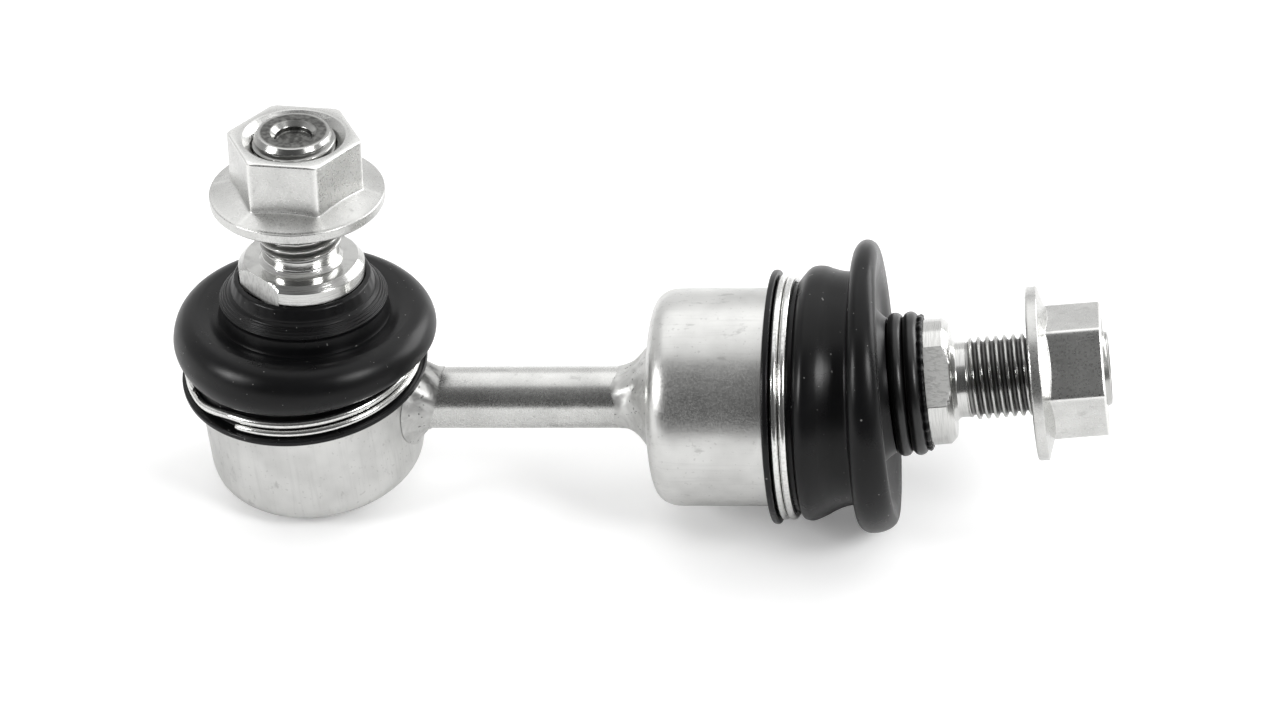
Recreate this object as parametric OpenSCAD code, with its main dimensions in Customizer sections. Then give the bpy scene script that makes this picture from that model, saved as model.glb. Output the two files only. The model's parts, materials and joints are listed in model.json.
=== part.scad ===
// Stabilizer link: two sealed ball joints on one welded rod, drawn the way it lies on a bench.
// The left joint stands across the rod, the right joint runs along it.
// All sizes are in millimetres. The origin is on the left stud's axis, where its thread starts.

/* [Link] */
// Diameter of the rod between the two joints
rod_d = 9; // [7:0.1:12]
// From the left joint's axis to the closed end of the right joint
joint_span = 51.2; // [45:0.1:120]
// Height of the rod's axis above the left joint's closed end
rod_h = 11.5; // [9:0.1:13]
// Gap left between welded pieces and around sleeves
weld_gap = 0.05; // [0.02:0.01:0.1]
// How far the left weld runs out along the rod
left_weld_len = 4.2; // [2:0.1:6]
// Radius of the left weld where it meets the cup
left_weld_r = 6.3; // [5:0.1:7]
// How far the right weld runs out along the rod
right_weld_len = 6; // [3:0.1:8]
// Radius of the right weld where it meets the cup
right_weld_r = 9.4; // [6:0.1:11]

/* [Socket cup] */
// Outside diameter of the cup
cup_d = 31.6; // [30:0.1:36]
// Height of the cup's plain outside, up to the boot groove
cup_h = 17.2; // [16:0.1:20]
// Outside corner radius at the closed end
cup_corner = 4; // [2:0.1:5]
// Bore diameter of the cup
cup_bore_d = 24.4; // [23.5:0.1:25.5]
// Thickness of the closed end
cup_floor = 2.6; // [2:0.1:3]
// Depth of the groove that the boot sits in
groove_depth = 1.2; // [1:0.05:1.8]
// Height of the rim above the groove's lower edge
rim_h = 4.8; // [4.4:0.1:5.4]
// Diameter of the bead at the mouth
bead_d = 30.4; // [29.8:0.1:30.8]
// Mouth opening after the rim is rolled in
mouth_d = 20.8; // [20.4:0.1:21.6]

/* [Ball and seats] */
// Ball diameter
ball_d = 18; // [16:0.1:18.4]
// Height of the ball's centre above the closed end
ball_h = 13; // [12.8:0.1:13.4]
// Running clearance between the ball and its seats
ball_clear = 0.06; // [0.02:0.01:0.1]
// Clearance of the seats and the retainer in the cup
seat_clear = 0.08; // [0.03:0.01:0.1]
// Height of the upper seat above the ball's centre
seat_h = 4.4; // [4:0.1:4.6]
// Thickness of the retainer ring
retainer_t = 2; // [1.5:0.1:2.1]
// Opening of the retainer ring
retainer_d = 18; // [17.4:0.1:18.6]
// Diameter of the grease pocket under the ball
pocket_d = 6; // [4:0.1:8]

/* [Stud] */
// From the ball's centre to the collar's underside, left
left_neck = 19.2; // [18.8:0.1:26]
// From the ball's centre to the collar's underside, right
right_neck = 26.3; // [24:0.1:32]
// Neck diameter next to the ball
neck_d = 9.8; // [8:0.1:10]
// Diameter that the boot's neck sits on
boot_seat_d = 14.2; // [13:0.1:14.6]
// Collar diameter
collar_d = 18.2; // [18:0.1:20]
// Collar thickness
collar_t = 3.9; // [3:0.1:6]
// Bevel at the collar's upper edge
collar_bevel = 0.9; // [0.3:0.1:1]
// Width across the collar's two wrench flats
collar_af = 16; // [15:0.1:17]
// Thread's outside diameter
thread_d = 12; // [10:0.5:12]
// Undercut diameter between the collar and the thread
undercut_d = 10.9; // [9:0.1:11]
// Undercut length
undercut_len = 2.2; // [1:0.1:3]
// From the shoulder to the end of the stud, left
left_shank = 20.8; // [18:0.1:30]
// From the shoulder to the end of the stud, right
right_shank = 22.5; // [18:0.1:30]
// Chamfer at the stud's end
end_chamfer = 0.8; // [0.5:0.1:1.2]
// Diameter of the recess in the stud's end
recess_d = 5.2; // [4:0.1:6]
// Depth of the recess in the stud's end
recess_depth = 2.4; // [1:0.1:6]
// Bevel around the recess
recess_bevel = 0.8; // [0.3:0.1:1]
// Width of the one thread turn that is cut, at the nut's flange
turn_w = 0.7; // [0.6:0.05:1]
// Depth of that turn
turn_depth = 0.35; // [0.2:0.05:0.6]

/* [Flange nut] */
// Hexagon across flats
nut_af = 17; // [16:0.5:18]
// Nut height with its flange
nut_h = 10.5; // [10:0.1:13]
// Bevel on the hexagon's top corners
nut_bevel = 0.5; // [0.3:0.1:1.2]
// Depth of the countersink around the stud's end
sink_depth = 1.3; // [0.5:0.1:1.6]
// Flange diameter
flange_d = 25.1; // [23:0.1:27]
// Thickness of the flange at its rim
flange_t = 1.7; // [1.2:0.1:2.2]
// Height where the flange's cone meets the hexagon
cone_h = 3; // [2.6:0.1:4.5]
// Clearance of the nut's bore around the thread
thread_clear = 0.09; // [0.03:0.01:0.1]
// From the left shoulder to the nut's flange
left_nut_gap = 9.5; // [0.5:0.1:10]
// From the right shoulder to the nut's flange
right_nut_gap = 11.3; // [0.5:0.1:11.8]

/* [Boot and rings] */
// Outside diameter of the boot's base flange
boot_flange_d = 36.8; // [36.4:0.1:38]
// Wire diameter of the clip rings
wire_d = 1.2; // [1:0.05:1.3]
// Wall of the boot under the clip ring
boot_wall = 1.85; // [1.5:0.05:2.2]
// Clearance between the boot and the metal it sits on
boot_clear = 0.1; // [0.05:0.01:0.15]
// Largest diameter of the right boot's first bulge
bulge_d = 36.8; // [36:0.1:38]
// Diameter of the valley between the right boot's bulges
valley_d = 33.8; // [33:0.1:35]
// Diameter of the left boot's fold
left_fold_d = 38.2; // [37.6:0.1:40]
// Diameter of the right boot's outer fold
right_fold_d = 42.4; // [40:0.1:44]
// Thickness of the right boot's outer fold
fold_t = 3.9; // [3:0.1:4.4]
// Diameter of the left boot's shoulder under its neck ring
shoulder_d = 24.4; // [23:0.1:25]
// Outside diameter of the boot's neck under its ring
boot_neck_d = 16.2; // [16:0.1:17]
// Outside diameter of the boot's lip under the collar
boot_lip_d = 19; // [18:0.1:20]
// Wire diameter of the neck rings
neck_wire_d = 2.05; // [1.6:0.05:2.2]
// Turns of the left neck ring
left_turns = 1; // [1:1:2]
// Turns of the right neck ring
right_turns = 2; // [1:1:2]
// Open angle of the rings
clip_open = 10; // [5:1:20]

/* [Rest pose] */
// Left stud's lean along the rod
left_lean_a = 3.9; // [-12:0.1:12]
// Left stud's lean across the rod
left_lean_b = -6.4; // [-12:0.1:12]
// Left stud's turn about its own axis
left_turn = 63; // [0:1:359]
// Left nut's turn on the thread
left_nut_turn = 58; // [0:1:59]
// Right stud's lean, downwards positive
right_lean_a = -2.8; // [-12:0.1:12]
// Right stud's lean across the rod
right_lean_b = -3.6; // [-12:0.1:12]
// Right stud's turn about its own axis
right_turn = 46; // [0:1:359]
// Right nut's turn on the thread
right_nut_turn = 15; // [0:1:59]

/* [Hidden] */
$fn = 64;
cup_r = cup_d / 2;
groove_d = cup_d - 2 * groove_depth;
ball_r = ball_d / 2;
rod_r = rod_d / 2;
cup_base = -ball_h;
groove_z = cup_base + cup_h;
rim_z = groove_z + rim_h;
left_ball_z = ball_h - rod_h;
right_ball_x = joint_span + ball_h;
seat_r = cup_bore_d / 2 - seat_clear;
retainer_z = seat_h + seat_clear;
lip_z = retainer_z + retainer_t + seat_clear;
flange_top = groove_z + boot_clear + 1.5;
// Radius of the boot's band under the clip ring
under_r = groove_d / 2 + boot_clear + boot_wall;
clip_r = under_r + weld_gap + wire_d / 2;
clip_z = flange_top + 0.1 + wire_d / 2;
clip_pitch = wire_d - 0.05;
clip_top = flange_top + 3.1;
neck_ring_r = boot_neck_d / 2 + weld_gap + neck_wire_d / 2;
neck_pitch = neck_wire_d - 0.05;
// Gap between a neck ring and the boot below it
ring_gap = 0.1;
left_neck_h = left_turns * neck_pitch + 0.55;
right_neck_h = right_turns * neck_pitch + 0.55;
// Height of the right boot's outer fold above the ball's centre
right_fold_z = clip_top + 0.755 * (right_neck - right_neck_h - clip_top);
// How late a boot's rings tilt with the stud: below 1 soon after the clip ring, above 1 near the neck
left_lead = 0.125;
right_lead = 3.5;
fold_drop = right_fold_z * sin(right_lean_a);
lie_a = (right_fold_d - fold_t) / 2 + fold_drop - rod_h + cup_corner;
lie_b = right_ball_x + right_fold_z + cup_r - cup_corner;
// Angle at which the link lies, on the left cup's corner and the right boot's fold
lie = acos((cup_corner - fold_t / 2) / norm([lie_a, lie_b])) - atan2(lie_b, lie_a);
// From the left ball's centre to the origin, along the stud
datum_s = left_neck + collar_t + undercut_len;
datum = [
    datum_s * cos(left_lean_b) * sin(left_lean_a),
    -datum_s * sin(left_lean_b),
    left_ball_z + datum_s * cos(left_lean_b) * cos(left_lean_a)
];

// Piece to draw, or all

// Lays the link down as it rests and puts the origin at the start of the left thread
module laid() {
    rotate([0, -lie, 0]) translate(-datum) children();
}

// Left joint's own frame: origin at the ball's centre, Z out of the cup
module at_left() {
    laid() translate([0, 0, left_ball_z]) children();
}

// Right joint's own frame: origin at the ball's centre, Z out of the cup along the rod
module at_right() {
    laid() translate([right_ball_x, 0, 0]) rotate([0, 90, 0]) children();
}

module leaned(a, b) {
    rotate([0, a, 0]) rotate([b, 0, 0]) children();
}

// Drawn cup: rounded closed end, boot groove and bead outside, bore and rolled-in mouth inside
module cup() {
    difference() {
        union() {
            translate([0, 0, cup_base + cup_corner]) cylinder(r = cup_r, h = cup_h - cup_corner);
            translate([0, 0, cup_base]) cylinder(r = cup_r - cup_corner, h = cup_h);
            translate([0, 0, cup_base + cup_corner])
                rotate_extrude() translate([cup_r - cup_corner, 0]) circle(r = cup_corner);
            translate([0, 0, cup_base + cup_corner])
                cylinder(d = groove_d, h = cup_h + rim_h - cup_corner - 0.4);
            translate([0, 0, rim_z - 0.8]) cylinder(d1 = groove_d, d2 = bead_d, h = 0.3);
            translate([0, 0, rim_z - 0.5]) cylinder(d1 = bead_d, d2 = bead_d - 1, h = 0.5);
        }
        translate([0, 0, cup_base + cup_floor])
            cylinder(d = cup_bore_d, h = lip_z - cup_base - cup_floor);
        translate([0, 0, lip_z - 0.01]) cylinder(d1 = cup_bore_d, d2 = mouth_d, h = 0.8);
        translate([0, 0, lip_z]) cylinder(d = mouth_d, h = rim_z);
        translate([0, 0, rim_z - 1]) cylinder(d1 = mouth_d, d2 = mouth_d + 2.4, h = 1.2);
    }
}

module lower_seat() {
    difference() {
        translate([0, 0, cup_base + cup_floor + seat_clear])
            cylinder(r = seat_r, h = ball_h - cup_floor - 2 * seat_clear);
        sphere(r = ball_r + ball_clear);
        translate([0, 0, cup_base]) cylinder(d = pocket_d, h = ball_h);
    }
}

module upper_seat() {
    difference() {
        cylinder(r = seat_r, h = seat_h);
        sphere(r = ball_r + ball_clear);
    }
}

module retainer() {
    difference() {
        translate([0, 0, retainer_z]) cylinder(r = seat_r, h = retainer_t);
        translate([0, 0, retainer_z - 1]) cylinder(d = retainer_d, h = retainer_t + 2);
        translate([0, 0, retainer_z + retainer_t - 0.5])
            cylinder(d1 = retainer_d, d2 = retainer_d + 1.4, h = 0.7);
    }
}

// Turns of round wire, each with an opening
module wire_ring(r, d, pitch, turns) {
    for (i = [0 : turns - 1])
        translate([0, 0, i * pitch]) rotate([0, 0, clip_open / 2])
            rotate_extrude(angle = 360 - clip_open) translate([r, 0]) circle(d = d, $fn = 32);
}

// Black wire around a boot's neck, in the stud's frame
module neck_wire(neck_len, neck_h, turns) {
    translate([0, 0, neck_len - neck_h + ring_gap + neck_wire_d / 2])
        wire_ring(neck_ring_r, neck_wire_d, neck_pitch, turns);
}

// Ball, neck, boot seat, collar with two flats, undercut, thread and end recess
module stud(neck_len, neck_h, shank, gap) {
    shoulder_z = neck_len + collar_t;
    end_z = shoulder_z + shank;
    seat_z = neck_len - neck_h - 0.3;
    difference() {
        union() {
            sphere(r = ball_r);
            cylinder(d = neck_d, h = neck_len);
            translate([0, 0, seat_z - 2]) cylinder(d1 = neck_d, d2 = boot_seat_d, h = 2);
            translate([0, 0, seat_z]) cylinder(d = boot_seat_d, h = neck_h + 0.4);
            intersection() {
                union() {
                    translate([0, 0, neck_len]) cylinder(d = collar_d, h = collar_t - collar_bevel);
                    translate([0, 0, shoulder_z - collar_bevel])
                        cylinder(d1 = collar_d, d2 = collar_d - 2 * collar_bevel, h = collar_bevel);
                }
                translate([-collar_af / 2, -collar_d, neck_len]) cube([collar_af, 2 * collar_d, collar_t]);
            }
            translate([0, 0, neck_len]) cylinder(d = undercut_d, h = collar_t + undercut_len + 0.2);
            translate([0, 0, shoulder_z + undercut_len])
                cylinder(d = thread_d, h = shank - undercut_len - end_chamfer);
            translate([0, 0, end_z - end_chamfer])
                cylinder(d1 = thread_d, d2 = thread_d - 2 * end_chamfer, h = end_chamfer);
        }
        translate([0, 0, end_z - recess_depth]) cylinder(d = recess_d, h = recess_depth + 1);
        translate([0, 0, end_z - recess_bevel])
            cylinder(d1 = recess_d, d2 = recess_d + 2 * recess_bevel, h = recess_bevel + 0.01);
        thread_turn(shoulder_z + gap);
    }
}

// One turn of the thread as a round groove: it ends the bare stretch that a bracket sits on
module thread_turn(z) {
    translate([0, 0, z]) difference() {
        cylinder(d = thread_d + 1, h = turn_w);
        translate([0, 0, -1]) cylinder(d = thread_d - 2 * turn_depth, h = turn_w + 2);
    }
}

// Flange nut: hexagon with a bevelled top, cone and round flange
module nut() {
    bore_r = thread_d / 2 + thread_clear;
    corner_r = nut_af / 2 / cos(30);
    difference() {
        union() {
            cylinder(d = flange_d, h = flange_t);
            translate([0, 0, flange_t])
                cylinder(d1 = flange_d - 0.6, d2 = nut_af - 0.4, h = cone_h - flange_t);
            intersection() {
                cylinder(r = corner_r, h = nut_h, $fn = 6);
                union() {
                    cylinder(r = corner_r + 0.5, h = nut_h - nut_bevel);
                    translate([0, 0, nut_h - nut_bevel])
                        cylinder(r1 = corner_r + 0.5, r2 = corner_r - nut_bevel, h = nut_bevel);
                }
            }
        }
        translate([0, 0, -1]) cylinder(r = bore_r, h = nut_h + 2);
        translate([0, 0, -0.01]) cylinder(r1 = bore_r + 0.6, r2 = bore_r, h = 0.6);
        translate([0, 0, nut_h - sink_depth])
            cylinder(r1 = bore_r, r2 = bore_r + sink_depth, h = sink_depth + 0.01);
    }
}

function turn_x(p, a) = [p[0], p[1] * cos(a) - p[2] * sin(a), p[1] * sin(a) + p[2] * cos(a)];
function turn_y(p, a) = [p[0] * cos(a) + p[2] * sin(a), p[1], p[2] * cos(a) - p[0] * sin(a)];
// Share of the lean at t, from 0 at the clip ring to 1 at the neck
function share(t, lead) = lead > 1 ? pow(t, lead) : 1 - pow(1 - t, 1 / lead);
// Points of an elliptic arc in a profile, from angle f to angle g
function arc(c, r, f, g, n) = [
    for (i = [0 : n]) let (w = f + (g - f) * i / n) [c[0] + r[0] * cos(w), c[1] + r[1] * sin(w)]
];

// Base of both boots, outside: flange in the cup's groove and the band under the clip ring
function base_out() = [
    [boot_flange_d / 2 - 0.5, groove_z + boot_clear],
    [boot_flange_d / 2, groove_z + boot_clear + 0.4],
    [boot_flange_d / 2, flange_top - 0.3],
    [boot_flange_d / 2 - 0.3, flange_top],
    [under_r, flange_top],
    [under_r, clip_top]
];

// Base of both boots, inside, around the cup's bead
function base_in() = [
    [bead_d / 2 + 0.3, rim_z - 0.9],
    [groove_d / 2 + boot_clear, rim_z - 1.2],
    [groove_d / 2 + boot_clear, groove_z + boot_clear]
];

// Neck of both boots from its lower end z1 to its lip, then down the seat
function neck_out(z1, top) = [
    [boot_neck_d / 2, z1 + 0.02],
    [boot_neck_d / 2, top - 0.2],
    [boot_lip_d / 2, top - 0.15],
    [boot_lip_d / 2, top],
    [boot_seat_d / 2 + boot_clear, top],
    [boot_seat_d / 2 + boot_clear, z1 - 0.3]
];

// Left boot: one round fold, a dish and a shoulder under the neck ring
function left_profile(z1, top) =
    let (
        h = z1 - clip_top,
        fold_r = left_fold_d / 2,
        fold_z = clip_top + 0.23 * h,
        crest_r = fold_r - 3.5,
        crest = 0.51 * h,
        foot_r = under_r + 0.35,
        dish_r = shoulder_d / 2
    )
    concat(
        base_out(),
        arc([foot_r, fold_z], [fold_r - foot_r, 0.22 * h], -80, 0, 5),
        arc([crest_r, fold_z], [fold_r - crest_r, crest], 12, 90, 7),
        [
            [dish_r + 2, fold_z + 0.95 * crest],
            [dish_r + 0.8, fold_z + 0.82 * crest],
            [dish_r + 0.2, fold_z + 0.78 * crest],
            [dish_r - 0.35, z1 - 0.27 * h]
        ],
        arc([dish_r - 1.9, z1 - 0.2 * h], [1.9, 0.2 * h], 0, 90, 4),
        neck_out(z1, top),
        [
            [dish_r - 2.6, z1 - 0.25 * h],
            [dish_r - 1, z1 - 0.55 * h],
            [dish_r + 0.8, z1 - 0.54 * h],
            [crest_r - 0.2, z1 - 0.46 * h],
            [fold_r - 2, z1 - 0.6 * h],
            [fold_r - 1.8, fold_z],
            [bead_d / 2 + 1, clip_top + 0.05 * h]
        ],
        base_in()
    );

// Right boot: a low bulge, a valley, a thick outer fold, a dish and a cone up to the neck
function right_profile(z1, top) =
    let (
        h = z1 - clip_top,
        bulge_r = bulge_d / 2,
        valley_r = valley_d / 2,
        rim_r = (right_fold_d - fold_t) / 2,
        neck_r = boot_neck_d / 2
    )
    concat(
        base_out(),
        [
            [valley_r, clip_top + 0.01 * h],
            [bulge_r - 0.6, clip_top + 0.05 * h],
            [bulge_r, clip_top + 0.12 * h],
            [bulge_r - 0.1, clip_top + 0.17 * h],
            [bulge_r - 0.35, clip_top + 0.24 * h],
            [bulge_r - 0.9, clip_top + 0.34 * h],
            [valley_r + 0.15, clip_top + 0.45 * h],
            [valley_r, clip_top + 0.57 * h],
            [rim_r - 1.6, right_fold_z - fold_t / 2 - 0.05]
        ],
        arc([rim_r, right_fold_z], [fold_t / 2, fold_t / 2], -90, 90, 10),
        [
            [rim_r - 1.8, right_fold_z + fold_t / 2 - 0.3],
            [rim_r - 4, clip_top + 0.84 * h],
            [neck_r + 4.9, clip_top + 0.8 * h],
            [neck_r + 3.7, clip_top + 0.82 * h],
            [neck_r + 2.9, clip_top + 0.87 * h],
            [neck_r + 2.1, clip_top + 0.94 * h],
            [neck_r + 1.6, z1]
        ],
        neck_out(z1, top),
        [
            [neck_r + 0.5, clip_top + 0.84 * h],
            [neck_r + 2.1, clip_top + 0.72 * h],
            [neck_r + 4.9, clip_top + 0.68 * h],
            [rim_r - 0.4, right_fold_z],
            [valley_r - 1.7, clip_top + 0.56 * h],
            [valley_r - 1.7, clip_top + 0.4 * h],
            [bulge_r - 2, clip_top + 0.15 * h],
            [bead_d / 2 + 0.4, clip_top + 0.02 * h]
        ],
        base_in()
    );

// Rubber bellows, swept ring by ring: each ring's middle leans with the stud and its plane tilts
// sooner or later
module boot(profile, z1, a, b, lead) {
    n = 48;
    m = len(profile);
    pts = [
        for (q = profile)
            let (
                t = min(1, max(0, (q[1] - clip_top) / (z1 - clip_top))),
                s = share(t, left_lead),
                w = share(t, lead),
                mid = turn_y(turn_x([0, 0, q[1]], s * b), s * a)
            )
                for (i = [0 : n - 1])
                    mid + turn_y(turn_x(q[0] * [cos(i * 360 / n), sin(i * 360 / n), 0], w * b), w * a)
    ];
    tris = [
        for (j = [0 : m - 1])
            for (i = [0 : n - 1])
                let (k = (j + 1) % m, e = (i + 1) % n)
                    each [[j * n + i, k * n + i, k * n + e], [j * n + i, k * n + e, j * n + e]]
    ];
    polyhedron(points = pts, faces = tris, convexity = 8);
}

// Rod, coped to the left cup and square against the right one
module link_rod() {
    color("silver") laid() difference() {
        translate([cup_r / 2, 0, 0]) rotate([0, 90, 0])
            cylinder(r = rod_r, h = joint_span - cup_r / 2 - weld_gap);
        translate([0, 0, -rod_h]) cylinder(r = cup_r + weld_gap, h = 3 * rod_h);
    }
}

// Fillet weld between the rod and the left cup's side
module left_weld() {
    color("silver") laid() difference() {
        translate([cup_r - 3, 0, 0]) rotate([0, 90, 0])
            cylinder(r1 = left_weld_r + 1, r2 = rod_r + 0.25, h = left_weld_len + 3);
        translate([0, 0, -2 * rod_h]) cylinder(r = cup_r + weld_gap, h = 4 * rod_h);
        rotate([0, 90, 0]) cylinder(r = rod_r + weld_gap, h = 2 * cup_d);
        translate([0, 0, cup_h - rod_h - 0.2]) cylinder(r = cup_d, h = cup_h);
    }
}

// Fillet weld between the rod and the right cup's closed end
module right_weld() {
    color("silver") laid() difference() {
        union() {
            translate([joint_span - right_weld_len, 0, 0]) rotate([0, 90, 0])
                cylinder(r1 = rod_r + 0.25, r2 = rod_r + 1.6, h = right_weld_len / 2);
            translate([joint_span - right_weld_len / 2, 0, 0]) rotate([0, 90, 0])
                cylinder(r1 = rod_r + 1.6, r2 = right_weld_r, h = right_weld_len / 2 - weld_gap);
        }
        translate([joint_span - 2 * right_weld_len, 0, 0]) rotate([0, 90, 0])
            cylinder(r = rod_r + weld_gap, h = 3 * right_weld_len);
    }
}

module left_housing() {
    color("lightgray") at_left() cup();
}

module left_lower_seat() {
    color("ivory") at_left() lower_seat();
}

module left_upper_seat() {
    color("ivory") at_left() upper_seat();
}

module left_retainer() {
    color("gray") at_left() retainer();
}

module left_clip_ring() {
    color("gainsboro") at_left() translate([0, 0, clip_z]) rotate([0, 0, -125])
        wire_ring(clip_r, wire_d, clip_pitch, 2);
}

module left_boot() {
    z1 = left_neck - left_neck_h;
    color("dimgray") at_left()
        boot(left_profile(z1, left_neck - boot_clear), z1, left_lean_a, left_lean_b, left_lead);
}

module left_neck_ring() {
    color("black") at_left() leaned(left_lean_a, left_lean_b)
        neck_wire(left_neck, left_neck_h, left_turns);
}

module left_stud() {
    color("darkgray") at_left() leaned(left_lean_a, left_lean_b) rotate([0, 0, left_turn])
        stud(left_neck, left_neck_h, left_shank, left_nut_gap);
}

module left_nut() {
    color("lightgray") at_left() leaned(left_lean_a, left_lean_b)
        translate([0, 0, left_neck + collar_t + left_nut_gap]) rotate([0, 0, left_nut_turn]) nut();
}

module right_housing() {
    color("lightgray") at_right() cup();
}

module right_lower_seat() {
    color("ivory") at_right() lower_seat();
}

module right_upper_seat() {
    color("ivory") at_right() upper_seat();
}

module right_retainer() {
    color("gray") at_right() retainer();
}

module right_clip_ring() {
    color("gainsboro") at_right() translate([0, 0, clip_z]) rotate([0, 0, 40])
        wire_ring(clip_r, wire_d, clip_pitch, 2);
}

module right_boot() {
    z1 = right_neck - right_neck_h;
    color("dimgray") at_right()
        boot(right_profile(z1, right_neck - boot_clear), z1, right_lean_a, right_lean_b, right_lead);
}

module right_neck_ring() {
    color("black") at_right() leaned(right_lean_a, right_lean_b)
        neck_wire(right_neck, right_neck_h, right_turns);
}

module right_stud() {
    color("darkgray") at_right() leaned(right_lean_a, right_lean_b) rotate([0, 0, right_turn])
        stud(right_neck, right_neck_h, right_shank, right_nut_gap);
}

module right_nut() {
    color("lightgray") at_right() leaned(right_lean_a, right_lean_b)
        translate([0, 0, right_neck + collar_t + right_nut_gap]) rotate([0, 0, right_nut_turn]) nut();
}

link_rod();
left_weld();
right_weld();
left_housing();
left_lower_seat();
left_upper_seat();
left_retainer();
left_clip_ring();
left_boot();
left_neck_ring();
left_stud();
left_nut();
right_housing();
right_lower_seat();
right_upper_seat();
right_retainer();
right_clip_ring();
right_boot();
right_neck_ring();
right_stud();
right_nut();
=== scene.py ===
"""Stabilizer link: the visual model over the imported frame, laid out as an add-on.

Every surface is a function of two parameters, worked out on a whole grid at once. Lengths inside the
functions are millimetres in a joint's own frame (origin at the ball's centre, Z out of the cup); the
last step takes them into the row frame in metres.
"""
import json
import math

import bpy
import numpy as np
from bpy.props import FloatProperty, FloatVectorProperty, PointerProperty
from mathutils import Matrix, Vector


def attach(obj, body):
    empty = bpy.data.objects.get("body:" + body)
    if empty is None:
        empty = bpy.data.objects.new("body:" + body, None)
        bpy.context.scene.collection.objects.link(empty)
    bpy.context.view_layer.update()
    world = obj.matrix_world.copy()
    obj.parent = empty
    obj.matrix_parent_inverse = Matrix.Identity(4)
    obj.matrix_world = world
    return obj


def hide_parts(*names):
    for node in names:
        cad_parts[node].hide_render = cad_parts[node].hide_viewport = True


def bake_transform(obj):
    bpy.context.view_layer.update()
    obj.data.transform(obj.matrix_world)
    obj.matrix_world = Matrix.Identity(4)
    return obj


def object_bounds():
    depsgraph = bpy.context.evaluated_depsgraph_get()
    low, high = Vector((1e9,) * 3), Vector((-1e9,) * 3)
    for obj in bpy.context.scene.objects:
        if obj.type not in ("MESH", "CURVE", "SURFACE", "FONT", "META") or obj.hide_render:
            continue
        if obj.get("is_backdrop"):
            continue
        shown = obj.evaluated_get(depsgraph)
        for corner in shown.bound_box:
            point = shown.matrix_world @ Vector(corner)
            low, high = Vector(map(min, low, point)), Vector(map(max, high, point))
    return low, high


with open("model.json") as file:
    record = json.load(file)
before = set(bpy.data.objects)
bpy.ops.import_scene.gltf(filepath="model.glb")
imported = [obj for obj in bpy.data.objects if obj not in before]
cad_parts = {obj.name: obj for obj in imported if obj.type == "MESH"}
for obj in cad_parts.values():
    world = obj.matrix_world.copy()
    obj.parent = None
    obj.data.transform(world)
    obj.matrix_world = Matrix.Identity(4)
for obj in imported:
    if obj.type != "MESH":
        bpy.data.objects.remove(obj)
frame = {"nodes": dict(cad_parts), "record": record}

bl_info = {
    "name": "Stabilizer Link",
    "version": (1, 0, 0),
    "blender": (4, 5, 0),
    "location": "View3D > Sidebar > Link",
    "description": "Builds the boots, cups, studs, nuts and rings of a stabilizer link over its frame",
    "category": "Add Mesh",
}

MM = 0.001
# Clearance between pieces that touch, in millimetres.
FIT = 0.05
# What differs between the two joints. Angles are radians for the wires, which start there, and degrees
# for the flats and the nut, which are turned that far. The neck ring's wire runs ring_turns turns and
# lies in ring_coils coils. The clip's pitch and the lip's tears are millimetres.
SIDES = {
    "left": {"clip_start": -2.02, "clip_pitch": 1.6, "ring_start": 1.7, "ring_turns": 0.985,
             "ring_coils": 1, "tears": 0.02, "flats_turn": 50, "nut_turn": 58},
    "right": {"clip_start": 0.8, "clip_pitch": 1.24, "ring_start": 1.0, "ring_turns": 1.9,
              "ring_coils": 2, "tears": 0.14, "flats_turn": 46, "nut_turn": 15},
}


def linear(code):
    """Turns an sRGB hex colour into the linear RGBA that shaders use."""
    c = np.array([int(code[i:i + 2], 16) for i in (1, 3, 5)]) / 255.0
    c = np.where(c <= 0.04045, c / 12.92, ((c + 0.055) / 1.055) ** 2.4)
    return (*[float(v) for v in c], 1.0)


def length(name, words, mm):
    """A length property, given in millimetres and held in metres."""
    return FloatProperty(name=name, description=words, default=mm * MM, unit="LENGTH", precision=5)


def colour(name, words, code):
    """A colour property, given as an sRGB hex colour."""
    return FloatVectorProperty(name=name, description=words, default=linear(code), size=4,
                               subtype="COLOR", min=0.0, max=1.0)


class LINK_PG_metal(bpy.types.PropertyGroup):
    """Sizes of the cups, the rod and the welds."""
    cup_r: length("Cup radius", "Outside radius of a socket cup", 15.8)
    cup_corner: length("Cup corner", "Corner radius at the closed end", 4.0)
    cup_h: length("Cup height", "Closed end to the boot groove", 17.2)
    ball_h: length("Ball height", "Closed end to the ball's centre", 13.0)
    groove_r: length("Groove radius", "Radius of the groove under the boot", 14.6)
    rim_h: length("Rim height", "Groove's lower edge to the cup's mouth", 4.8)
    rod_r: length("Rod radius", "Radius of the rod", 4.5)
    span: length("Joint span", "Left joint's axis to the right cup's closed end", 51.2)
    rod_h: length("Rod height", "Rod's axis above the left cup's closed end", 11.5)
    left_weld: length("Left weld", "How far the left weld runs along the rod", 4.2)
    right_weld: length("Right weld", "How far the right weld runs along the rod", 6.0)
    right_weld_r: length("Right weld radius", "Radius of the right weld at the cup", 9.4)


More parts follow.
